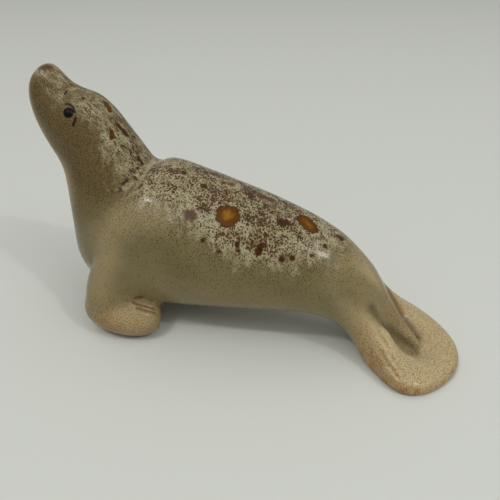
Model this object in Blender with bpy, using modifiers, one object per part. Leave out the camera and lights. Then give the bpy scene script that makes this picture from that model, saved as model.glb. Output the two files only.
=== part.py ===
"""Seal figurine: one slip-cast, glazed stoneware piece. The seal props itself up on its front
flippers with the head raised, and the tail fan lies flat behind it.

The head points to -X, the tail fan to +X, and the seal's left side is -Y. Sizes are in millimetres
until the mesh is made, which is in metres. The sections are drawn with X counted from the middle of
the tail fan. The finished seal has its three main sizes and stands over the origin.
"""
import math
from collections import namedtuple

import bmesh
import bpy
from mathutils import Matrix, Vector

MM = 0.001

# Main sizes of the finished seal: snout to tail, flipper to flipper and ground to nose. The drawn
# clay is stretched to them.
LENGTH = 277
WIDTH = 110.5
HEIGHT = 159

GLAZE_COLOUR = (0.42, 0.34, 0.21, 1.0)
GLAZE_ROUGHNESS = 0.25

# Head, neck and trunk. A section is a closed loop across the body, from a point (x, z) on the back
# to a point (x, z) on the throat or belly, with its half width.
Section = namedtuple("Section", "back belly half_width")

HEAD = [
    Section(back=(-234, 160), belly=(-243, 149), half_width=7),
    Section(back=(-228, 160), belly=(-245, 140), half_width=12),
    Section(back=(-223, 150.5), belly=(-243, 129), half_width=15),
    Section(back=(-213, 145), belly=(-239, 118), half_width=18),
    Section(back=(-203, 144.5), belly=(-233, 108), half_width=21.5),
    Section(back=(-193, 136), belly=(-226, 98), half_width=23),
    Section(back=(-185, 123), belly=(-225, 85), half_width=26),
    Section(back=(-175, 109), belly=(-225, 68), half_width=31),
]
TRUNK = [
    Section(back=(-161, 106.5), belly=(-224, 34), half_width=41),
    Section(back=(-150, 105.5), belly=(-214, 18), half_width=45),
    Section(back=(-135, 101.5), belly=(-192, 8), half_width=46),
    Section(back=(-120, 97.5), belly=(-160, 6.5), half_width=45),
    Section(back=(-104, 93.5), belly=(-130, 10.5), half_width=42),
    Section(back=(-88, 89), belly=(-103, 14), half_width=38),
    Section(back=(-72, 84), belly=(-82, 17), half_width=34),
    Section(back=(-57, 78), belly=(-65, 19), half_width=30),
    Section(back=(-44, 71), belly=(-52, 18), half_width=26.5),
    Section(back=(-32, 59.5), belly=(-43, 14), half_width=24),
    Section(back=(-22, 49.5), belly=(-35, 6), half_width=23.5),
]

# How square the head is above its widest line. At 1 its sections are plain ovals.
HEAD_FULLNESS = 1.15

# The fold where the neck meets the shoulders: a section like the others, pinched along its back.
FOLD = Section(back=(-168, 101), belly=(-226, 50), half_width=36)
FOLD_DEPTH = 6

# Tail fan. Each slice stands on the ground at x, its middle lies swing to the seal's left, and
# its top leans back by lean. The grooves beside the tail ridge are groove_at from the middle. The
# last four sizes are heights: of the tail ridge in the middle (crest), of the grooves (groove), of
# the flipper lobes outside them (lobe) and of the widest place (edge).
FanSlice = namedtuple("FanSlice", "x swing lean half_width groove_at crest groove lobe edge")

FAN = [
    FanSlice(x=-24, swing=0, lean=8, half_width=27, groove_at=10, crest=39, groove=28, lobe=33.5, edge=9),
    FanSlice(x=-14, swing=1, lean=5, half_width=35, groove_at=9.5, crest=30, groove=12.5, lobe=25, edge=6),
    FanSlice(x=-6, swing=2.5, lean=2, half_width=40.5, groove_at=8.5, crest=23, groove=4.5, lobe=19, edge=5),
    FanSlice(x=1, swing=4, lean=0, half_width=42, groove_at=7.5, crest=18.5, groove=1.5, lobe=15, edge=4.5),
    FanSlice(x=6, swing=5, lean=0, half_width=41, groove_at=6, crest=15, groove=1.5, lobe=13, edge=4.5),
    FanSlice(x=10, swing=5.5, lean=0, half_width=39, groove_at=6, crest=5.5, groove=3.5, lobe=11.5, edge=4.5),
    FanSlice(x=16, swing=6, lean=0, half_width=35, groove_at=6, crest=9, groove=9, lobe=10, edge=4.5),
    FanSlice(x=22.5, swing=6, lean=0, half_width=28, groove_at=6, crest=9, groove=9, lobe=9, edge=4),
    FanSlice(x=28.5, swing=6, lean=0, half_width=18.5, groove_at=6, crest=8.5, groove=8.5, lobe=8, edge=4),
    FanSlice(x=33, swing=6, lean=0, half_width=8, groove_at=3, crest=6.5, groove=6.5, lobe=6, edge=3.5),
]

# The ridge rounds over at this share of the way to its groove, this share of its height above it.
RIDGE_TURN = 0.6
RIDGE_TURN_HEIGHT = 0.82
# Where the lobe's points lie, as shares of the way from the groove to the widest place. The first
# is the top of the lobe. Then the sole's points, as shares of the half width.
LOBE_SHARES = [0.3, 0.6, 0.85, 1.0]
SOLE_SHARES = [0.9, 0.62, 0.31, 0.0]
# How far the sole is drawn under the ground, so that trimming leaves it flat.
SUNK = 1.5

# Front flippers: the leg comes down inside the shoulder and the foot lies folded back on the
# ground. A limb section is an oval round a centre, across the direction of the limb.
LimbSection = namedtuple("LimbSection", "centre half_width half_height")

LEG = [
    LimbSection(centre=(-164, -20, 72), half_width=18, half_height=18),
    LimbSection(centre=(-174, -27, 56), half_width=20, half_height=20),
    LimbSection(centre=(-182, -35, 40), half_width=19, half_height=18),
    LimbSection(centre=(-187.5, -38, 22), half_width=18, half_height=19.5),
    LimbSection(centre=(-188, -38, 6), half_width=14, half_height=14),
]
FOOT = [
    LimbSection(centre=(-204.5, -38, 19), half_width=8, half_height=9),
    LimbSection(centre=(-195, -40, 17), half_width=15, half_height=18),
    LimbSection(centre=(-178, -40.5, 14), half_width=17, half_height=16),
    LimbSection(centre=(-163, -38, 12), half_width=15.5, half_height=14),
    LimbSection(centre=(-153, -34, 11.5), half_width=9.5, half_height=9.5),
]

# The eyes are beads of clay pressed into the sides of the head, behind the tip of the snout and
# below the top of the nose.
EYE_BEHIND_SNOUT = 34.3
EYE_BELOW_NOSE = 22.6
EYE_RADIUS = 4.4
EYE_PROUD = 1.2
EYE_SEGMENTS = 16

# How finely the clay is drawn: the points round half a body section, in degrees from its back, and
# round a limb, then the grain at which body and limbs are pressed together, how hard and how often
# the sponge smooths them, and the share of the faces kept.
CAGE_ANGLES = [0, 12, 24, 42, 60, 78, 96, 117, 138, 159, 180]
LIMB_POINTS = 10
SUBDIVISIONS = 3
CLAY_GRAIN = 1.6
SPONGE_STRENGTH = 0.5
SPONGE_COUNT = 6
KEPT_SHARE = 0.11


def clear_scene():
    for item in list(bpy.data.objects):
        bpy.data.objects.remove(item, do_unlink=True)


def new_collection(name):
    collection = bpy.data.collections.new(name)
    bpy.context.scene.collection.children.link(collection)
    return collection


def as_cutter(item):
    item.hide_render = True
    item.display_type = "WIRE"
    return item


def both_sides(half):
    """A closed loop from the points of its left half, which run from the back to the belly."""
    other = [Vector((point.x, -point.y, point.z)) for point in reversed(half[1:-1])]
    return half + other


def body_loop(section, fullness=1.0, pinch=0.0):
    """Points round a section. A fullness over 1 squares its shoulders, and pinch narrows its back."""
    back = Vector((section.back[0], 0, section.back[1]))
    belly = Vector((section.belly[0], 0, section.belly[1]))
    half = []
    for degrees in CAGE_ANGLES:
        angle = math.radians(degrees)
        half_width = section.half_width - pinch * math.cos(angle / 2)
        point = back.lerp(belly, (1 - math.cos(angle)) / 2)
        point.y = -half_width * max(0.0, math.sin(angle)) ** (1 / fullness)
        half.append(point)
    return both_sides(half)


def fan_loop(cut):
    """Points round a slice of the fan: ridge, groove and lobe on top, then the sole."""
    turn_height = cut.groove + (cut.crest - cut.groove) * RIDGE_TURN_HEIGHT
    points = [(0, cut.crest)]
    points.append((cut.groove_at * RIDGE_TURN, turn_height))
    points.append((cut.groove_at, cut.groove))
    lobe_width = cut.half_width - cut.groove_at
    for share in LOBE_SHARES:
        fall = (share - LOBE_SHARES[0]) / (LOBE_SHARES[-1] - LOBE_SHARES[0])
        height = cut.edge + (cut.lobe - cut.edge) * math.sqrt(1 - fall ** 2)
        points.append((cut.groove_at + lobe_width * share, height))
    half = []
    for offset, height in points:
        half.append(Vector((cut.x + cut.lean * height / cut.crest, -offset, height)))
    for share in SOLE_SHARES:
        half.append(Vector((cut.x, -cut.half_width * share, -SUNK)))
    middle = Vector((0, -cut.swing, 0))
    return [middle + point for point in both_sides(half)]


def limb_loop(centre, along, half_width, half_height):
    sideways = Vector((0, 1, 0))
    across = (sideways - along * sideways.dot(along)).normalized()
    upward = along.cross(across)
    loop = []
    for k in range(LIMB_POINTS):
        angle = math.tau * k / LIMB_POINTS
        offset = across * half_width * math.cos(angle) + upward * half_height * math.sin(angle)
        loop.append(centre + offset)
    return loop


def limb_loops(sections, side):
    centres = [Vector((s.centre[0], s.centre[1] * side, s.centre[2])) for s in sections]
    loops = []
    for k, section in enumerate(sections):
        before = centres[max(k - 1, 0)]
        after = centres[min(k + 1, len(centres) - 1)]
        along = (after - before).normalized()
        loops.append(limb_loop(centres[k], along, section.half_width, section.half_height))
    return loops


def loft(name, loops, collection):
    """A closed cage over loops of points, rounded by a Subdivision Surface."""
    cage = bmesh.new()
    rows = [[cage.verts.new(point * MM) for point in loop] for loop in loops]
    for first, second in zip(rows, rows[1:]):
        for k, corner in enumerate(first):
            following = (k + 1) % len(first)
            cage.faces.new((corner, first[following], second[following], second[k]))
    cage.faces.new(rows[0])
    cage.faces.new(rows[-1])
    bmesh.ops.recalc_face_normals(cage, faces=cage.faces)
    mesh = bpy.data.meshes.new(name)
    cage.to_mesh(mesh)
    cage.free()
    item = bpy.data.objects.new(name, mesh)
    collection.objects.link(item)
    rounding = item.modifiers.new("rounding", "SUBSURF")
    rounding.levels = SUBDIVISIONS
    rounding.render_levels = SUBDIVISIONS
    return as_cutter(item)


def into_cutters(item, cutters):
    for owner in list(item.users_collection):
        owner.objects.unlink(item)
    cutters.objects.link(item)
    return as_cutter(item)


def add_boolean(item, operation, tool):
    boolean = item.modifiers.new(tool.name, "BOOLEAN")
    boolean.operation = operation
    boolean.solver = "EXACT"
    boolean.object = tool


def wet_clay(cutters):
    """Body and flippers pressed together, their joins softened as a wet sponge softens them."""
    loops = [body_loop(section, fullness=HEAD_FULLNESS) for section in HEAD]
    loops.append(body_loop(FOLD, pinch=FOLD_DEPTH))
    loops += [body_loop(section) for section in TRUNK]
    loops += [fan_loop(cut) for cut in FAN]
    clay = loft("clay", loops, cutters)
    for side, word in ((1, "left"), (-1, "right")):
        for limb, sections in (("leg", LEG), ("foot", FOOT)):
            add_boolean(clay, "UNION", loft(word + "_" + limb, limb_loops(sections, side), cutters))
    press = clay.modifiers.new("press", "REMESH")
    press.mode = "VOXEL"
    press.voxel_size = CLAY_GRAIN * MM
    sponge = clay.modifiers.new("sponge", "SMOOTH")
    sponge.factor = SPONGE_STRENGTH
    sponge.iterations = SPONGE_COUNT
    fewer_faces = clay.modifiers.new("fewer_faces", "DECIMATE")
    fewer_faces.ratio = KEPT_SHARE
    return clay


def finished_casting(clay, parts):
    """The joined clay as one mesh of the main sizes, in the middle over the ground."""
    depsgraph = bpy.context.evaluated_depsgraph_get()
    mesh = bpy.data.meshes.new_from_object(clay.evaluated_get(depsgraph))
    mesh.name = "seal_figurine"
    low = Vector([min(vertex.co[axis] for vertex in mesh.vertices) for axis in range(3)])
    high = Vector([max(vertex.co[axis] for vertex in mesh.vertices) for axis in range(3)])
    middle = (low + high) / 2
    mesh.transform(Matrix.Translation((-middle.x, -middle.y, 0)))
    drawn = Vector((high.x - low.x, high.y - low.y, high.z))
    stretch = [size * MM / length for size, length in zip((LENGTH, WIDTH, HEIGHT), drawn)]
    mesh.transform(Matrix.Diagonal((*stretch, 1)))
    casting = bpy.data.objects.new("seal_figurine", mesh)
    parts.objects.link(casting)
    return casting


def eye_bead(word, side, casting, cutters):
    """A bead where a level line across the head meets its skin, so it sits in any head."""
    eye_x = EYE_BEHIND_SNOUT - LENGTH / 2
    eye_z = HEIGHT - EYE_BELOW_NOSE
    outside = Vector((eye_x, -side * WIDTH, eye_z)) * MM
    _, skin, normal, _ = casting.ray_cast(outside, Vector((0, side, 0)))
    centre = skin - normal * (EYE_RADIUS - EYE_PROUD) * MM
    bpy.ops.mesh.primitive_uv_sphere_add(
        segments=EYE_SEGMENTS, ring_count=EYE_SEGMENTS // 2, radius=EYE_RADIUS * MM, location=centre)
    bead = bpy.context.object
    bead.name = word + "_eye"
    return into_cutters(bead, cutters)


def ground_block(casting, cutters):
    """A block whose top is the ground. It trims the soles flat."""
    reach = 2 * max(casting.dimensions)
    bpy.ops.mesh.primitive_cube_add(size=reach, location=(0, 0, -reach / 2))
    block = bpy.context.object
    block.name = "ground_block"
    return into_cutters(block, cutters)


def glaze_material():
    material = bpy.data.materials.new("oatmeal_glaze")
    material.use_nodes = True
    shader = material.node_tree.nodes["Principled BSDF"]
    shader.inputs["Base Color"].default_value = GLAZE_COLOUR
    shader.inputs["Roughness"].default_value = GLAZE_ROUGHNESS
    shader.inputs["Metallic"].default_value = 0.0
    return material


def main():
    clear_scene()
    parts = new_collection("seal_figurine")
    cutters = new_collection("cutters")
    casting = finished_casting(wet_clay(cutters), parts)
    for side, word in ((1, "left"), (-1, "right")):
        add_boolean(casting, "UNION", eye_bead(word, side, casting, cutters))
    add_boolean(casting, "DIFFERENCE", ground_block(casting, cutters))
    casting.data.shade_smooth()
    casting.data.materials.append(glaze_material())


main()
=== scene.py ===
"""The looks of the seal figurine: slip-cast stoneware under a glossy oatmeal reactive glaze.

The casting's skin is drawn finer than the CAD solid. It gets the eyelids, the finger grooves, the
folds, the flutes of the tail fan and the slightly uneven surface of a hand-finished piece. The
glaze is olive oatmeal with brown specks. Over the back it breaks into brown cells in a cream web,
with amber, mauve and brown spots.
"""

import functools
import math
import random
from collections import namedtuple

import bmesh
import bpy
import numpy as np
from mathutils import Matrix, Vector, noise
from mathutils.bvhtree import BVHTree


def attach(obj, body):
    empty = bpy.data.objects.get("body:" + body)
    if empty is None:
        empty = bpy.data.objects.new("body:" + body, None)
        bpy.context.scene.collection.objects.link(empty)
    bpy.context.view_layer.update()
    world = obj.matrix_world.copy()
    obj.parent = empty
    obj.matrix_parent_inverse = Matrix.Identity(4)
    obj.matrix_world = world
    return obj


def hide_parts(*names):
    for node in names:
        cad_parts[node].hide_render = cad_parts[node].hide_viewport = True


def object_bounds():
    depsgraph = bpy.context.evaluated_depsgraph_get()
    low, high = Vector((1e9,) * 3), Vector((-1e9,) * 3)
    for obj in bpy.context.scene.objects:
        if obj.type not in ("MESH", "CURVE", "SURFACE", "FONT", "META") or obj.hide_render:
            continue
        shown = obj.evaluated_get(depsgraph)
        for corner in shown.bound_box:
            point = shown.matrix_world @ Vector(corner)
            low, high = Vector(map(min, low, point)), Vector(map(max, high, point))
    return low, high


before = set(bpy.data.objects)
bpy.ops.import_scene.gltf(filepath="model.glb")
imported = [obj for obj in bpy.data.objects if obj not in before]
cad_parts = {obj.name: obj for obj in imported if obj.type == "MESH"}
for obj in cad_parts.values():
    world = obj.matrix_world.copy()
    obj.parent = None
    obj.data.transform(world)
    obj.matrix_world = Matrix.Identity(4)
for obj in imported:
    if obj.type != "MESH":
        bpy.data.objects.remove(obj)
CAD_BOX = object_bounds()

# Sizes and places are in millimetres, except those of the floor and the lamps.
MM = 0.001
FAR_AWAY = 1000.0

# The camera stands where the photo was taken from. Its angles are in degrees.
CAMERA_AZIMUTH = 18
CAMERA_ELEVATION = 33
CAMERA_DISTANCE = 430
CAMERA_TARGET = (-23.3, 76.7, 0)
CAMERA_NEAR_LIMIT = 10
PICTURE_SIZE_IN_PIXELS = 500
FOCAL_LENGTH_IN_PIXELS = 520
SENSOR = 36

# The skin is drawn with quads of this size, and finer round the eyes and grooves.
SKIN_GRAIN = 1.15
SKIN_WELD = 0.01
SKIN_SMOOTHING = 4
SKIN_SMOOTHING_STRENGTH = 0.5
EYE_DETAIL_REACH = 4
EYE_DETAIL_ROUNDS = 2
GROOVE_DETAIL_REACH = 2.5
HAND_UNEVENNESS = 0.12
HAND_WAVELENGTH = 14

# Eye beads, in the middle of the casting's own beads. The seal's left is -Y. The skin up to this
# margin round a bead shows which way the eye looks.
EYE_CENTRE = (-104.7, -14.0, 134.6)
EYE_RADIUS = 4.4
EYE_RIM = 3.0
EYE_MARGIN = 1
SOCKET_WIDTH = 0.55
SOCKET_DEPTH = 0.2

# Marks on the side that the photo shows are placed by their pixels in it. A mark is a stroke
# through one or more pixels, with a radius. The other side gets mirrored ones.
Mark = namedtuple("Mark", "pixels radius")

LID = Mark([(65.8, 104), (69.5, 104), (73, 107), (74.6, 112)], 0.7)
TEAR_MARKS = [
    Mark([(75.4, 118), (74.6, 121.5), (72.8, 125.2)], 0.85),
    Mark([(64.5, 94.5), (67, 91)], 0.5),
]
FINGER_GROOVES = [
    Mark([(135, 298), (142.5, 297), (152.5, 301)], 0.9),
    Mark([(133, 302), (142.5, 305), (156, 309.5)], 0.9),
    Mark([(137, 307.5), (146, 310.5), (156, 313)], 0.9),
]
FAN_FLUTES = [
    Mark([(388, 352), (396, 364), (405, 376)], 1.8),
    Mark([(380, 352), (388, 365), (397, 377)], 1.8),
    Mark([(372, 322), (379, 336), (389, 350)], 1.8),
]
NAPE_FOLD = Mark([(153, 160), (147, 170), (138, 183), (128, 196), (112, 212), (98, 232)], 2.5)
CHEST_CREASE = Mark([(98, 236), (94, 248), (92, 262)], 2.2)
ARMPIT = Mark([(119, 293), (128, 290)], 4.0)

# The tail's ridge ends between two broad grooves in the fan, and iron wash runs down beside the
# far one.
# Painted shade darkens the glaze along this top of the ridge.
RIDGE_TOP = Mark([(352, 285), (375, 300), (392, 318), (408, 338)], 5.0)
# Dark painted shade lies in this groove and in its mirror image.
RIDGE_GROOVE = Mark([(373, 309), (382, 322), (392, 333), (404, 343), (415, 351)], 2.6)
RIDGE_WASH = Mark([(387, 287), (396, 304), (405, 320), (412, 329), (417, 337)], 1.2)

# How deep each kind of mark is pressed into the clay, and the plane y = middle that mirrors it.
# The marks of one kind have the same radius.
FAN_MIDDLE = -4.5
Carving = namedtuple("Carving", "marks depth middle")
CARVINGS = {
    "finger": Carving(FINGER_GROOVES, 0.7, 0.0),
    "flute": Carving(FAN_FLUTES, 0.8, FAN_MIDDLE),
    "lid": Carving([LID], 0.35, 0.0),
    "fold": Carving([NAPE_FOLD], 0.9, 0.0),
    "crease": Carving([CHEST_CREASE], 0.5, 0.0),
    "armpit": Carving([ARMPIT], 1.2, 0.0),
    "hollow": Carving([RIDGE_GROOVE], 1.2, FAN_MIDDLE),
}

# Where drops of iron glaze fell, by the colour that they fired to.
SPOTS = {
    "amber": [
        Mark([(227.5, 215.5)], 7.0),
        Mark([(305, 220.5), (310.5, 226.5)], 4.9),
        Mark([(106, 104), (110, 110)], 2.2),
        Mark([(112, 132), (112.5, 137)], 1.4),
    ],
    "mauve": [
        Mark([(189.5, 215.5)], 4.2),
        Mark([(231.5, 184)], 2.8),
        Mark([(261, 196), (272, 200)], 2.6),
        Mark([(43, 67), (48, 66)], 2.8),
    ],
    "brown": [
        Mark([(261, 246), (258.5, 252)], 1.9),
        Mark([(280.5, 222.5), (286, 222)], 1.8),
        Mark([(204, 186)], 2.0),
        Mark([(184, 173)], 1.6),
        Mark([(203, 240)], 1.2),
        Mark([(237.5, 243), (238, 250)], 1.1),
        Mark([(266, 235)], 1.2),
        Mark([(281.7, 258.7)], 1.6),
        Mark([(292.5, 257)], 1.6),
        Mark([(219, 252)], 0.9),
        Mark([(312, 256)], 0.9),
        Mark([(325, 246)], 1.3),
        Mark([(338, 236), (342, 239)], 1.4),
        Mark([(118, 125), (123, 130), (127, 135)], 1.3),
        Mark([(124, 131), (125.5, 134)], 1.7),
        Mark([(134, 137)], 1.0),
        Mark([(138, 157), (142, 163)], 1.1),
        Mark([(130, 170), (135, 172.5)], 0.8),
        Mark([(122.5, 146)], 0.8),
        Mark([(132.5, 160)], 0.8),
        Mark([(83.5, 98)], 0.8),
        Mark([(126, 181), (123, 184)], 0.7),
        Mark([(134, 177), (136, 180)], 0.7),
        Mark([(121, 190), (118, 192)], 0.6),
    ],
}
# On the other side the spots lie up to this far along the seal from where a mirror would put
# them. Spots this near the middle line are the same spot seen from both sides.
SPOT_SHIFT = 7
SHARED_SPOT_REACH = 12
SPOT_SEED = 7

# Lower edge of the mottled back, from the snout along the neck and the flank to the tail.
BACK_EDGE = [
    (42, 74), (58, 86), (78, 103), (98, 126), (110, 156), (121, 184), (136, 205), (160, 207),
    (180, 220), (200, 238), (222, 255), (245, 263), (285, 262), (318, 258), (334, 248), (343, 242),
]
# The share of iron brown in the mottle, and how creamy the rest of it is, by the distance above
# that edge. On the head both are less.
IRON_BY_HEIGHT = [(-12, 0.05), (-4, 0.16), (4, 0.26), (14, 0.44), (26, 0.64)]
CREAM_BY_HEIGHT = [(-10, 0.0), (-2, 0.5), (6, 0.9), (14, 0.6), (28, 0.4)]
HEAD_IRON = 0.9
HEAD_CREAM = 0.55

# The share of fine specks by the distance above the same edge, and how much more there is on the
# head and neck and near the ground.
SPECKS_BY_HEIGHT = [(-60, 0.25), (-30, 0.35), (-14, 0.6), (-4, 0.9)]
HEAD_SPECKS = 0.5
GROUND_SPECKS = 1.0

# The head's glaze begins over these distances ahead of the nape fold and above its lower end.
HEAD_FADE = (-4, 6)
HEAD_RISE = (-5, 30)

# The glaze lies thin on the sides of the flippers, the tail fan and the snout, but not on the
# belly and not in the hollows beside the ridge. A facing is a part of the skin's unit normal.
THIN_HEIGHT = 42
BELLY_MIDDLE = 10
BELLY_REACH = 50
BELLY_FADE = 25
SNOUT_REACH = 14
TOP_FACING = (0.5, 0.9)
HOLLOW_FADE = (1, 8)

# Thick glaze is olive and thinner glaze paler. It was sprayed from above, so it gets paler over
# this length of the tail, and partly so near the ground. The tail fan's paleness is partly painted
# light, where the fan faces up. The throat and the belly are paler as painted light, by the way
# they face, and the snout partly from thin glaze and partly from painted light. Patches of painted
# light lie on the shoulder, the leg and the toes. Painted shade keeps the ridge darker.
TAIL_PALE_AND_PAINTED_LIGHT = (48, 95)
PALE_GROUND = 0.66
# Painted light: the throat is paler where it faces forward.
THROAT_PAINTED_LIGHT = 0.85
THROAT_FACING = (0.25, 0.8)
# Painted light from the floor: the belly is paler where it faces down.
BELLY_PAINTED_LIGHT = 0.27
BELLY_FACING = (-0.2, 0.5)
# The snout is paler partly from thin glaze and partly from painted light.
SNOUT_PALE_AND_PAINTED_LIGHT = 0.55
# Painted light in patches: the sheen round the shoulder's highlight, the lit front of the leg and
# the highlight on the toes.
PAINTED_LIGHT_PATCH = 0.36
PAINTED_LIGHT_PATCH_FADE = 18
PAINTED_LIGHT_PATCHES = [
    Mark([(118, 222), (136, 210), (160, 212)], 2.0),
    Mark([(108, 240), (102, 262), (98, 290)], 1.0),
    Mark([(124, 316), (136, 321), (150, 318)], 1.0),
]
# Painted shade on the ridge, and the distance over which it fades.
RIDGE_PAINTED_SHADE = 0.75
RIDGE_FADE = 9

# Sizes of the glaze's pattern. The real specks are from 0.2 mm, too fine to show at the photo's
# size, so they are drawn at their coarsest. A stretch below 1 draws a pattern out. The tilt, in
# degrees, is that of the head.
SPECK_SPACING = 0.85
CELL_SPACING = 1.2
CELL_GRAIN = 0.8
PATCH_SIZE = 22
CLUMP_SIZE = 11
RAGGED_SIZE = 5
RAGGED_DEPTH = 11
RAGGED_STRETCH = 0.35
RIM_SIZE = 2.4
WANDER_SIZE = 3.0
WANDER = 0.8
RUN_STRETCH = 0.48
HEAD_STRETCH = 0.32
HEAD_TILT = 38.9
RIPPLE_SIZE = 4.5
RIPPLE_HEIGHT = 0.05

# How far the outlines of the spots, the nape fold and the mottled back are ruffled.
RUFFLES = {"amber": 1.1, "mauve": 1.3, "brown": 0.8, "fold": 1.2}
BACK_RUFFLE = 2.0

# Spans are written as sockets of a Map Range node: 1 and 2 are the values it starts and ends at,
# 3 and 4 what it gives there. A noise lies mostly within the first of these, and nearly always
# within the second.
NOISE_CORE = {1: 0.35, 2: 0.65}
NOISE_MOST = {1: 0.25, 2: 0.75}
NOISE_MIDDLE = (0.5, 0.5, 0.5)

THIN_PART = {**NOISE_CORE, 3: 0.1, 4: 1.0}
SPECK_WEIGHT = {3: 0.35, 4: 1.1}
SPECK_SIZE = {3: 0.4, 4: 0.65}
SPECK_HEART = 0.15
SPECK_ON_PALE = {3: 1.0, 4: 0.7}
ZONE_EDGE = {1: -9.0, 2: 6.0}
CELL_CRUMBLE = {1: 0.3, 2: 0.7, 3: -0.14, 4: 0.14}
CELL_CLUMPING = {**NOISE_CORE, 3: -0.22, 4: 0.22}
CELL_SIZE = {3: 0.22, 4: 0.84}
CELL_EDGE = {1: -0.08, 2: 0.08, 4: 0.95}
POOL_EDGE = {1: 2.2, 2: 0.3, 4: 0.8}

# Pale runs, and a halo round each amber and mauve spot, hold less iron and more cream.
HALO_EDGE = {1: 4.5, 2: 0.5}
RUN_IRON = -0.3
RUN_CREAM = 0.8
HALO_IRON = -0.2
HALO_CREAM = 0.4

OLIVE_OATMEAL = "#786C4B"
DARK_OATMEAL = "#6E6343"
# Painted shade: the head and neck are darker.
NECK_PAINTED_SHADE_OATMEAL = "#655537"
PALE_OATMEAL = "#B7A37B"
HONEY = "#A37D50"
SPECK_BROWN = "#36280F"
WEB_CREAM = "#A3997A"
WEB_TAN = "#7E704B"
CELL_BROWN = "#3A230D"
CELL_MAUVE = "#4A2C1C"

# Stains have soft edges, which run from 1 to 2 by the distance outside their outline. Their
# strength is 4.
MAUVE = "#593C26"
MAUVE_EDGE = {1: 1.3, 2: -1.0, 4: 0.85}
MAUVE_HEART = "#411F0C"
MAUVE_HEART_EDGE = {1: -0.5, 2: -2.5}
IRON_BROWN = "#3A1A02"
IRON_EDGE = {1: 1.0, 2: -0.4, 4: 0.95}
AMBER = "#5A3400"
AMBER_EDGE = {1: 0.8, 2: -0.5}
AMBER_HEART = "#8A5F12"
AMBER_HEART_EDGE = {1: -2.5, 2: -6.0}
AMBER_RIM = "#331A02"
AMBER_RIM_EDGE = {1: -1.5, 2: 0.2}

# Painted shade in the grooves either side of the ridge, iron wash in the finger grooves and down
# the far side of the ridge, the drawn lines at the eyes, and the eyes.
WASHES_AND_PAINTED_SHADE = {
    # Dark olive painted shade in the grooves beside the ridge.
    "hollow": ("#4E4026", {1: 3.0, 2: -2.0, 4: 0.6}),
    "wash": ("#5E4424", {1: 3.0, 2: -1.0, 4: 0.7}),
    "finger": ("#6B4A25", {1: 0.4, 2: -0.8, 4: 0.75}),
    "line": ("#260E00", {1: 0.2, 2: -0.3, 4: 0.95}),
    "eye": ("#060303", {1: 0.25, 2: 0.0}),
}

# A fired glaze is glossy. The specular level is lower than a real glaze's 0.5, because the even
# light would lay a haze over the dark spots. The head is duller.
SPECULAR_LEVEL = 0.14
ROUGHNESS = {1: 0.3, 2: 0.7, 3: 0.14, 4: 0.22}
HEAD_ROUGHNESS = 0.2

# The floor and the lamps, in metres and watts. Each small lamp hangs in front of a large soft
# panel and makes one of the two highlights on the back.
FLOOR_COLOUR = "#CED0C9"
FLOOR_ROUGHNESS = 0.6
FLOOR_SIZE = 6
ROOM_COLOUR = "#F4F6F2"
ROOM_STRENGTH = 0.4
Lamp = namedtuple("Lamp", "name place size power")
LAMPS = [
    Lamp("ceiling", (0, 0, 4.0), 6.0, 58),
    Lamp("left_panel", (-0.72, -1.35, 2.58), 1.5, 11),
    Lamp("left_lamp", (-0.72, -1.35, 2.5), 0.16, 10),
    Lamp("right_panel", (1.89, -0.66, 2.22), 1.5, 11),
    Lamp("right_lamp", (1.89, -0.66, 2.15), 0.16, 10),
]

# Settings that many nodes of the glaze share, and the patterns that its parts share.
COLOUR_MIX = {"data_type": "RGBA", "output": 2}
SOFT_EDGE = {"interpolation_type": "SMOOTHSTEP"}
MULTIPLY = {"operation": "MULTIPLY"}
MULTIPLY_ADD = {"operation": "MULTIPLY_ADD"}
Pattern = namedtuple("Pattern", "place melt ragged clumps drift wobble ruffle")


def linear(hex_colour):
    """The linear colour, with full alpha, of an sRGB colour such as #B7A781."""
    channels = [int(hex_colour[k:k + 2], 16) / 255 for k in (1, 3, 5)]
    bent = [c / 12.92 if c <= 0.04045 else ((c + 0.055) / 1.055) ** 2.4 for c in channels]
    return (*bent, 1.0)


def add_camera():
    azimuth = math.radians(CAMERA_AZIMUTH)
    elevation = math.radians(CAMERA_ELEVATION)
    towards_camera = Vector((
        math.sin(azimuth) * math.cos(elevation),
        -math.cos(azimuth) * math.cos(elevation),
        math.sin(elevation),
    ))
    data = bpy.data.cameras.new("photo_camera")
    data.sensor_width = SENSOR
    data.lens = SENSOR * FOCAL_LENGTH_IN_PIXELS / PICTURE_SIZE_IN_PIXELS
    data.clip_start = CAMERA_NEAR_LIMIT * MM
    camera = bpy.data.objects.new("photo_camera", data)
    bpy.context.scene.collection.objects.link(camera)
    camera.location = (Vector(CAMERA_TARGET) + towards_camera * CAMERA_DISTANCE) * MM
    camera.rotation_euler = towards_camera.to_track_quat("Z", "Y").to_euler()
    bpy.context.scene.camera = camera
    return camera


class Photo:
    """Finds places on the casting from pixels of the photo."""

    def __init__(self, camera, casting):
        self.eye = camera.location
        self.turn = camera.rotation_euler.to_matrix()
        corners = [vertex.co for vertex in casting.data.vertices]
        polygons = [polygon.vertices[:] for polygon in casting.data.polygons]
        self.surface = BVHTree.FromPolygons(corners, polygons)

    def place(self, pixel):
        across = (pixel[0] - PICTURE_SIZE_IN_PIXELS / 2) / FOCAL_LENGTH_IN_PIXELS
        up = (PICTURE_SIZE_IN_PIXELS / 2 - pixel[1]) / FOCAL_LENGTH_IN_PIXELS
        direction = self.turn @ Vector((across, up, -1))
        hit = self.surface.ray_cast(self.eye, direction.normalized())[0]
        if hit is None:
            raise ValueError("pixel %s is beside the figurine" % (pixel,))
        return np.array(hit) / MM

    def places(self, pixels):
        return np.array([self.place(pixel) for pixel in pixels])

    def on_skin(self, points):
        """The places on the casting nearest to these points."""
        nearest = [self.surface.find_nearest(Vector(point) * MM)[0] for point in points]
        return np.array(nearest) / MM


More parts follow.
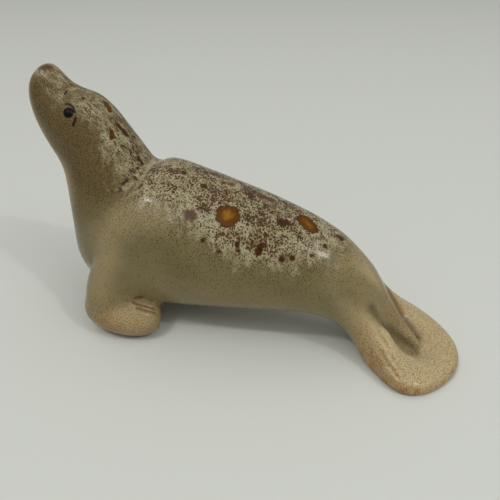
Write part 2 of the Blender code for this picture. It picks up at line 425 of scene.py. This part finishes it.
def mirrored(points, middle=0.0):
    return points * [1, -1, 1] + [0, 2 * middle, 0]


def smooth_step(value, low, high):
    share = np.clip((value - low) / (high - low), 0, 1)
    return share * share * (3 - 2 * share)


def distance_to_path(points, path):
    """How far each point is from a path of straight pieces, or from its only point."""
    nearest = np.linalg.norm(points - path[0], axis=1)
    for start, end in zip(path, path[1:]):
        along = end - start
        share = np.clip((points - start) @ along / (along @ along), 0, 1)
        gap = np.linalg.norm(points - (start + share[:, None] * along), axis=1)
        nearest = np.minimum(nearest, gap)
    return nearest


def distance_to_strokes(points, strokes):
    """How far each point is outside the nearest stroke, which is a path and a radius."""
    nearest = np.full(len(points), FAR_AWAY)
    for path, radius in strokes:
        nearest = np.minimum(nearest, distance_to_path(points, path) - radius)
    return nearest


def height_over_path(points, path):
    """How far each point lies above a path in the side view, less than 0 below it."""
    path_height = np.interp(points[:, 0], path[:, 0], path[:, 2])
    above = np.where(points[:, 2] > path_height, 1.0, -1.0)
    return above * distance_to_path(points * [1, 0, 1], path * [1, 0, 1])


def both_sides(marks, photo, middle=0.0):
    """The strokes of these marks and their mirror images."""
    strokes = []
    for mark in marks:
        path = photo.places(mark.pixels)
        strokes.append((path, mark.radius))
        strokes.append((mirrored(path, middle), mark.radius))
    return strokes


def scattered(marks, photo, chance):
    """The strokes of these spots, and on the other side spots like them but out of line."""
    strokes = []
    for mark in marks:
        path = photo.places(mark.pixels)
        strokes.append((path, mark.radius))
        if np.abs(path[:, 1]).min() > SHARED_SPOT_REACH:
            shift = np.array([chance.uniform(-SPOT_SHIFT, SPOT_SHIFT), 0, 0])
            strokes.append((photo.on_skin(mirrored(path) + shift), mark.radius))
    return strokes


def drawn_finer(casting):
    """The casting's skin as an even mesh of small quads."""
    coarse_mesh = bmesh.new()
    coarse_mesh.from_mesh(casting.data)
    bmesh.ops.remove_doubles(coarse_mesh, verts=coarse_mesh.verts, dist=SKIN_WELD * MM)
    data = bpy.data.meshes.new("coarse_skin")
    coarse_mesh.to_mesh(data)
    coarse_mesh.free()
    coarse = bpy.data.objects.new("coarse_skin", data)
    bpy.context.scene.collection.objects.link(coarse)
    rounding = coarse.modifiers.new("rounding", "SUBSURF")
    rounding.levels = 1
    even = coarse.modifiers.new("even", "REMESH")
    even.mode = "VOXEL"
    even.voxel_size = SKIN_GRAIN * MM
    smoothing = coarse.modifiers.new("smoothing", "SMOOTH")
    smoothing.factor = SKIN_SMOOTHING_STRENGTH
    smoothing.iterations = SKIN_SMOOTHING
    depsgraph = bpy.context.evaluated_depsgraph_get()
    fine = bpy.data.meshes.new_from_object(coarse.evaluated_get(depsgraph))
    bpy.data.objects.remove(coarse, do_unlink=True)
    skin = bpy.data.objects.new("seal_skin", fine)
    bpy.context.scene.collection.objects.link(skin)
    return skin


def vertex_places(mesh):
    places = np.empty(len(mesh.vertices) * 3)
    mesh.vertices.foreach_get("co", places)
    return places.reshape(-1, 3) / MM


def vertex_normals(mesh):
    normals = np.empty(len(mesh.vertices) * 3)
    mesh.vertex_normals.foreach_get("vector", normals)
    return normals.reshape(-1, 3)


def subdivide_near(skin, strokes, reach):
    """Cuts the quads near these strokes in four."""
    near = distance_to_strokes(vertex_places(skin.data), strokes) < reach
    mesh = bmesh.new()
    mesh.from_mesh(skin.data)
    edges = [edge for edge in mesh.edges if all(near[corner.index] for corner in edge.verts)]
    bmesh.ops.subdivide_edges(mesh, edges=edges, cuts=1, use_grid_fill=True)
    mesh.to_mesh(skin.data)
    mesh.free()


def hand_unevenness(points):
    """Low waves, because the piece was sponged by hand before it was fired."""
    waves = [noise.noise(Vector(point) / HAND_WAVELENGTH) for point in points]
    return np.array(waves) * HAND_UNEVENNESS


def groove(distance, radius, depth):
    """The lift of a round groove at this distance outside its stroke."""
    return -depth * np.exp(-((distance + radius) / radius) ** 2)


def press_eye(points, normals, centre):
    """Makes the eye a round bead in a narrow socket, and returns the distance outside its rim."""
    offsets = points - centre
    distances = np.linalg.norm(offsets, axis=1)
    outward = offsets[distances < EYE_RADIUS + EYE_MARGIN].mean(axis=0)
    outward /= np.linalg.norm(outward)
    height = offsets @ outward
    from_axis = np.sqrt(np.maximum(distances ** 2 - height ** 2, 0))
    from_axis[height < 0] = FAR_AWAY
    on_bead = from_axis < EYE_RIM
    points[on_bead] = centre + offsets[on_bead] / distances[on_bead, None] * EYE_RADIUS
    ring = (from_axis - EYE_RIM - SOCKET_WIDTH) / SOCKET_WIDTH
    points -= normals * (SOCKET_DEPTH * np.exp(-ring ** 2) * ~on_bead)[:, None]
    return from_axis - EYE_RIM


def sculpt(skin, photo):
    """Presses the carvings and the eyes into the skin. Returns how far each vertex is from the
    marks that the glaze follows."""
    strokes = {}
    for name, carving in CARVINGS.items():
        strokes[name] = both_sides(carving.marks, photo, carving.middle)
    tears = both_sides(TEAR_MARKS, photo)
    wash = [(photo.places(RIDGE_WASH.pixels), RIDGE_WASH.radius)]
    eyes = [np.array(EYE_CENTRE), mirrored(np.array(EYE_CENTRE))]
    eye_strokes = [(eye[None, :], EYE_RADIUS) for eye in eyes]
    for _ in range(EYE_DETAIL_ROUNDS):
        subdivide_near(skin, eye_strokes + tears, EYE_DETAIL_REACH)
    subdivide_near(skin, strokes["finger"] + strokes["flute"], GROOVE_DETAIL_REACH)

    points = vertex_places(skin.data)
    normals = vertex_normals(skin.data)
    distances = {name: distance_to_strokes(points, strokes[name]) for name in CARVINGS}
    marks = {
        "finger": distances["finger"],
        # The hollow marks also place the painted shade in the grooves beside the ridge.
        "hollow": distances["hollow"],
        "line": np.minimum(distances["lid"], distance_to_strokes(points, tears)),
        "wash": distance_to_strokes(points, wash),
    }
    lift = hand_unevenness(points)
    for name, carving in CARVINGS.items():
        lift += groove(distances[name], carving.marks[0].radius, carving.depth)
    points += normals * lift[:, None]
    marks["eye"] = np.minimum(*[press_eye(points, normals, eye) for eye in eyes])
    low, high = (np.array(corner) / MM for corner in CAD_BOX)
    points = np.clip(points, low, high)
    skin.data.vertices.foreach_set("co", (points * MM).ravel())
    skin.data.update()
    skin.data.shade_smooth()
    return marks


def near_ground(points):
    """1 at the ground, 0 at the height where the thin glaze ends and on the belly."""
    off_middle = np.abs(points[:, 0] - BELLY_MIDDLE)
    off_belly = smooth_step(off_middle, BELLY_REACH, BELLY_REACH + BELLY_FADE)
    return smooth_step(-points[:, 2], -THIN_HEIGHT, 0) * off_belly


def on_head(points, fold):
    """1 on the head and neck, 0 behind the nape fold and below its lower end."""
    fold_x = np.interp(points[:, 2], fold[::-1, 2], fold[::-1, 0])
    ahead = smooth_step(fold_x - points[:, 0], *HEAD_FADE)
    return ahead * smooth_step(points[:, 2] - fold[-1, 2], *HEAD_RISE)


def mottle_layers(points, head, fold, photo):
    """Where the mottled back and the pool in the nape fold are, and how they are mixed."""
    back = height_over_path(points, photo.places(BACK_EDGE))
    specks = np.interp(back, *zip(*SPECKS_BY_HEIGHT)) + HEAD_SPECKS * head
    return {
        "back": back,
        "fold": distance_to_strokes(points, [(fold, 0), (mirrored(fold), 0)]),
        "iron": np.interp(back, *zip(*IRON_BY_HEIGHT)) * (1 - head * (1 - HEAD_IRON)),
        "cream": np.interp(back, *zip(*CREAM_BY_HEIGHT)) * (1 - head * (1 - HEAD_CREAM)),
        "speck": specks + GROUND_SPECKS * near_ground(points),
    }


def thickness_layers(points, normals, head, off_hollow, photo):
    """Where the glaze is thin, and how pale it is. The paleness holds painted light on the tail,
    the throat, the belly, the snout and in patches, and painted shade on the ridge.
    """
    snout = points[points[:, 2].argmax()]
    near_snout = smooth_step(-np.linalg.norm(points - snout, axis=1), -SNOUT_REACH, 0)
    upright = 1 - smooth_step(normals[:, 2], *TOP_FACING)
    off_ridge = distance_to_strokes(points, both_sides([RIDGE_TOP], photo, FAN_MIDDLE))
    off_painted_light = distance_to_strokes(points, both_sides(PAINTED_LIGHT_PATCHES, photo))
    # Near the snout the honey is partly thin glaze and partly painted light.
    thin = np.maximum(near_ground(points) * upright, near_snout)
    ridge_painted_shade = RIDGE_PAINTED_SHADE * smooth_step(-off_ridge, -RIDGE_FADE, 0)
    pale = np.max([
        smooth_step(points[:, 0], *TAIL_PALE_AND_PAINTED_LIGHT) * (1 - ridge_painted_shade),
        PALE_GROUND * near_ground(points),
        THROAT_PAINTED_LIGHT * head * smooth_step(-normals[:, 0], *THROAT_FACING),
        BELLY_PAINTED_LIGHT * smooth_step(-normals[:, 2], *BELLY_FACING),
        SNOUT_PALE_AND_PAINTED_LIGHT * near_snout,
    ], axis=0)
    return {
        "thin": thin * smooth_step(off_hollow, *HOLLOW_FADE),
        "pale": pale + PAINTED_LIGHT_PATCH * smooth_step(-off_painted_light, -PAINTED_LIGHT_PATCH_FADE, 0),
    }


def spot_layers(points, photo):
    """How far each point is outside the nearest spot of each kind."""
    chance = random.Random(SPOT_SEED)
    layers = {}
    for name, marks in SPOTS.items():
        layers[name] = distance_to_strokes(points, scattered(marks, photo, chance))
    return layers


def mark_glaze(skin, marks, photo):
    """Stores on the skin where each kind of glaze lies, as distances and shares."""
    points = vertex_places(skin.data)
    fold = photo.places(NAPE_FOLD.pixels)
    head = on_head(points, fold)
    layers = dict(marks, head=head)
    layers.update(mottle_layers(points, head, fold, photo))
    normals = vertex_normals(skin.data)
    layers.update(thickness_layers(points, normals, head, marks["hollow"], photo))
    layers.update(spot_layers(points, photo))
    for name, values in layers.items():
        attribute = skin.data.attributes.new(name, "FLOAT", "POINT")
        attribute.data.foreach_set("value", values.astype(np.float32))
    return list(layers)


def add_node(tree, kind, inputs, output=0, **settings):
    """Adds a node, sets it, links or fills its inputs, and returns one of its outputs. Inputs go
    by name, or by number where names repeat: a Mix node's two colours are 6 and 7."""
    node = tree.nodes.new("ShaderNode" + kind)
    for name, value in settings.items():
        setattr(node, name, value)
    for socket, value in inputs.items():
        if isinstance(value, bpy.types.NodeSocket):
            tree.links.new(value, node.inputs[socket])
        else:
            node.inputs[socket].default_value = value
    return node.outputs[output]


def per_metre(millimetres):
    """The scale of a pattern that repeats at this length."""
    return 1 / (millimetres * MM)


def melted(add):
    """The patterns of the melt. It wanders, so no outline or cell is quite regular."""
    place = add("TexCoord", {}, "Object")
    wander = add("TexNoise", {"Vector": place, "Scale": per_metre(WANDER_SIZE)}, "Color")
    centred = add("VectorMath", {0: wander, 1: NOISE_MIDDLE}, operation="SUBTRACT")
    moved = add("VectorMath", {0: centred, "Scale": WANDER * MM}, operation="SCALE")
    melt = add("VectorMath", {0: place, 1: moved})
    runs = add("Mapping", {"Vector": melt, "Scale": (1, 1, RAGGED_STRETCH)})
    ragged = add("TexNoise", {"Vector": runs, "Scale": per_metre(RAGGED_SIZE), "Detail": 3.0})
    clumps = add("TexNoise", {"Vector": melt, "Scale": per_metre(CLUMP_SIZE), "Detail": 2.0})
    patches = add("TexNoise", {"Vector": place, "Scale": per_metre(PATCH_SIZE), "Detail": 3.0})
    rim = add("TexNoise", {"Vector": place, "Scale": per_metre(RIM_SIZE), "Detail": 2.0})
    drift = add("MapRange", {0: patches, **NOISE_CORE})
    wobble = add("MapRange", {0: ragged, **NOISE_MOST, 3: -1.0, 4: 1.0})
    ruffle = add("MapRange", {0: rim, **NOISE_MOST, 3: -1.0, 4: 1.0})
    return Pattern(place, melt, ragged, clumps, drift, wobble, ruffle)


def plain_glaze(add, layer, pattern):
    """Olive oatmeal, darker on the head and neck as painted shade, pale where the glaze is thinner
    and where painted light falls, and honey where it is thinnest.
    """
    thin_part = add("MapRange", {0: pattern.ragged, **THIN_PART})
    thin = add("Math", {0: layer["thin"], 1: thin_part}, **MULTIPLY)
    thick = {0: pattern.drift, 6: linear(OLIVE_OATMEAL), 7: linear(DARK_OATMEAL)}
    skin = add("Mix", thick, **COLOUR_MIX)
    skin = add("Mix", {0: layer["head"], 6: skin, 7: linear(NECK_PAINTED_SHADE_OATMEAL)}, **COLOUR_MIX)
    skin = add("Mix", {0: layer["pale"], 6: skin, 7: linear(PALE_OATMEAL)}, **COLOUR_MIX)
    return add("Mix", {0: thin, 6: skin, 7: linear(HONEY)}, **COLOUR_MIX)


def iron_specks(add, layer, pattern):
    """How much iron shows in a speck. Specks come through everywhere, fewer where the glaze is
    thick. One lot says whether a speck is there, and the other how strong it is."""
    specks = {"Vector": pattern.melt, "Scale": per_metre(SPECK_SPACING)}
    from_middle = add("TexVoronoi", specks, "Distance")
    lots = {0: add("TexVoronoi", specks, "Color")}
    there = add("Math", {0: add("SeparateColor", lots), 1: layer["speck"]}, operation="LESS_THAN")
    weight = add("MapRange", {0: add("SeparateColor", lots, "Green"), **SPECK_WEIGHT})
    size = add("MapRange", {0: layer["speck"], **SPECK_SIZE})
    speck = add("MapRange", {0: from_middle, 1: size, 2: SPECK_HEART, 4: weight}, **SOFT_EDGE)
    speck = add("Math", {0: speck, 1: there}, **MULTIPLY)
    faint = add("MapRange", {0: layer["pale"], **SPECK_ON_PALE})
    return add("Math", {0: speck, 1: faint}, **MULTIPLY)


def mottled_zone(add, layer, pattern):
    """1 on the mottled back and 0 on the plain glaze. Its edge ran down in tongues."""
    edge = add("Math", {0: pattern.wobble, 1: RAGGED_DEPTH / 2, 2: layer["back"]}, **MULTIPLY_ADD)
    edge = add("Math", {0: pattern.ruffle, 1: BACK_RUFFLE, 2: edge}, **MULTIPLY_ADD)
    return add("MapRange", {0: edge, **ZONE_EDGE}, **SOFT_EDGE)


def brown_cells(add, layer, pattern, halo):
    """How much iron shows as cells. They run down the flanks, and along the head and neck, and
    are larger away from the edge of the mottle."""
    scale = {"Scale": per_metre(CELL_SPACING)}
    fallen = add("Mapping", {"Vector": pattern.melt, "Scale": (1, 1, RUN_STRETCH)})
    tilt = (0, -math.radians(HEAD_TILT), 0)
    turned = add("Mapping", {"Vector": pattern.melt, "Rotation": tilt})
    drawn = add("Mapping", {"Vector": turned, "Scale": (HEAD_STRETCH, 1, 1)})
    back_cell = add("TexVoronoi", {"Vector": fallen, **scale}, "Distance")
    head_cell = add("TexVoronoi", {"Vector": drawn, **scale}, "Distance")
    cell = add("Mix", {0: layer["head"], 2: back_cell, 3: head_cell})
    grain = {"Vector": pattern.place, "Scale": per_metre(CELL_GRAIN), "Detail": 1.0}
    cell = add("Math", {0: cell, 1: add("MapRange", {0: add("TexNoise", grain), **CELL_CRUMBLE})})
    patch = add("MapRange", {0: pattern.clumps, **CELL_CLUMPING})
    iron = add("Math", {0: layer["iron"], 1: patch})
    iron = add("Math", {0: pattern.wobble, 1: RUN_IRON, 2: iron}, **MULTIPLY_ADD)
    iron = add("Math", {0: halo, 1: HALO_IRON, 2: iron}, **MULTIPLY_ADD)
    size = add("MapRange", {0: iron, **CELL_SIZE})
    inside = add("Math", {0: size, 1: cell}, operation="SUBTRACT")
    return add("MapRange", {0: inside, **CELL_EDGE}, **SOFT_EDGE)


def cream_web(add, layer, pattern, halo):
    """The glaze between the cells, cream where it is thick and tan where it is thinner."""
    milky = add("Math", {0: pattern.wobble, 1: RUN_CREAM, 2: layer["cream"]}, **MULTIPLY_ADD)
    milky = add("Math", {0: halo, 1: HALO_CREAM, 2: milky}, use_clamp=True, **MULTIPLY_ADD)
    return add("Mix", {0: milky, 6: linear(WEB_TAN), 7: linear(WEB_CREAM)}, **COLOUR_MIX)


def stained(add, ground, distance, edge, colour):
    """The ground's colour with a soft-edged stain on it."""
    share = add("MapRange", {0: distance, **edge}, **SOFT_EDGE)
    return add("Mix", {0: share, 6: ground, 7: colour}, **COLOUR_MIX)


def spotted(add, skin, outline):
    """Soft mauve spots, iron brown ones, and amber ones with a dark rim and a lighter heart."""
    heart = linear(MAUVE_HEART)
    mauve = stained(add, linear(MAUVE), outline["mauve"], MAUVE_HEART_EDGE, heart)
    skin = stained(add, skin, outline["mauve"], MAUVE_EDGE, mauve)
    skin = stained(add, skin, outline["brown"], IRON_EDGE, linear(IRON_BROWN))
    heart = linear(AMBER_HEART)
    amber = stained(add, linear(AMBER), outline["amber"], AMBER_HEART_EDGE, heart)
    amber = stained(add, amber, outline["amber"], AMBER_RIM_EDGE, linear(AMBER_RIM))
    return stained(add, skin, outline["amber"], AMBER_EDGE, amber)


def reactive_glaze(layers):
    """A glossy stoneware glaze over speckled clay. It runs and breaks: iron comes through as brown
    cells and specks, the rest pools as cream, and where drops of iron glaze fell it is amber."""
    material = bpy.data.materials.new("oatmeal_reactive_glaze")
    material.use_nodes = True
    tree = material.node_tree
    bsdf = tree.nodes["Principled BSDF"]
    add = functools.partial(add_node, tree)
    layer = {name: add("Attribute", {}, "Fac", attribute_name=name) for name in layers}
    pattern = melted(add)
    outline = {}
    for name, reach in RUFFLES.items():
        ruffled = {0: pattern.ruffle, 1: reach, 2: layer[name]}
        outline[name] = add("Math", ruffled, **MULTIPLY_ADD)
    to_spot = add("Math", {0: outline["amber"], 1: outline["mauve"]}, operation="MINIMUM")
    halo = add("MapRange", {0: to_spot, **HALO_EDGE}, **SOFT_EDGE)

    # The plain glaze, and over it the mottled back with its cells and the pool in its fold.
    zone = mottled_zone(add, layer, pattern)
    cells = brown_cells(add, layer, pattern, halo)
    cells = add("Math", {0: cells, 1: zone}, **MULTIPLY)
    cell_colours = {0: pattern.drift, 6: linear(CELL_BROWN), 7: linear(CELL_MAUVE)}
    cell_colour = add("Mix", cell_colours, **COLOUR_MIX)
    specks = iron_specks(add, layer, pattern)
    web = cream_web(add, layer, pattern, halo)
    pool = add("MapRange", {0: outline["fold"], **POOL_EDGE}, **SOFT_EDGE)
    pool = add("Math", {0: pool, 1: zone}, **MULTIPLY)
    skin = plain_glaze(add, layer, pattern)
    skin = add("Mix", {0: zone, 6: skin, 7: web}, **COLOUR_MIX)
    skin = add("Mix", {0: specks, 6: skin, 7: linear(SPECK_BROWN)}, **COLOUR_MIX)
    skin = add("Mix", {0: cells, 6: skin, 7: cell_colour}, **COLOUR_MIX)
    skin = add("Mix", {0: pool, 6: skin, 7: linear(WEB_CREAM)}, **COLOUR_MIX)
    skin = spotted(add, skin, outline)
    # Washes, lines and eyes, and painted shade in the grooves beside the ridge.
    for name, (colour, edge) in WASHES_AND_PAINTED_SHADE.items():
        skin = stained(add, skin, layer[name], edge, linear(colour))
    tree.links.new(skin, bsdf.inputs["Base Color"])

    # Gloss, a little duller where the glaze is creamy, and on the head. The surface ripples.
    bsdf.inputs["Specular IOR Level"].default_value = SPECULAR_LEVEL
    duller = add("MapRange", {0: pattern.ragged, **ROUGHNESS})
    duller = add("Math", {0: layer["head"], 1: HEAD_ROUGHNESS, 2: duller}, **MULTIPLY_ADD)
    tree.links.new(duller, bsdf.inputs["Roughness"])
    waves = {"Vector": pattern.place, "Scale": per_metre(RIPPLE_SIZE), "Detail": 3.0}
    ripple = {"Height": add("TexNoise", waves), "Strength": 1.0, "Distance": RIPPLE_HEIGHT * MM}
    tree.links.new(add("Bump", ripple), bsdf.inputs["Normal"])
    return material


def add_floor():
    """A plain pale table top, dull enough to show only the seal's soft shadow."""
    bpy.ops.mesh.primitive_plane_add(size=FLOOR_SIZE)
    floor = bpy.context.object
    floor.name = "floor"
    material = bpy.data.materials.new("pale_table_top")
    material.use_nodes = True
    shader = material.node_tree.nodes["Principled BSDF"]
    shader.inputs["Base Color"].default_value = linear(FLOOR_COLOUR)
    shader.inputs["Roughness"].default_value = FLOOR_ROUGHNESS
    floor.data.materials.append(material)


def add_lamp(lamp):
    """A square soft light that shines at the figurine."""
    data = bpy.data.lights.new(lamp.name, "AREA")
    data.size = lamp.size
    data.energy = lamp.power
    light = bpy.data.objects.new(lamp.name, data)
    bpy.context.scene.collection.objects.link(light)
    light.location = lamp.place
    light.rotation_euler = Vector(lamp.place).to_track_quat("Z", "Y").to_euler()


def add_light():
    world = bpy.data.worlds.new("dim_room")
    bpy.context.scene.world = world
    world.use_nodes = True
    background = world.node_tree.nodes["Background"]
    background.inputs["Color"].default_value = linear(ROOM_COLOUR)
    background.inputs["Strength"].default_value = ROOM_STRENGTH
    for lamp in LAMPS:
        add_lamp(lamp)


def main():
    camera = add_camera()
    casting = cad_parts["seal_figurine"]
    photo = Photo(camera, casting)
    skin = drawn_finer(casting)
    marks = sculpt(skin, photo)
    layers = mark_glaze(skin, marks, photo)
    skin.data.materials.clear()
    skin.data.materials.append(reactive_glaze(layers))
    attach(skin, "root")
    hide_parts("seal_figurine")
    add_floor()
    add_light()
    bpy.context.scene.view_settings.view_transform = "Standard"


main()
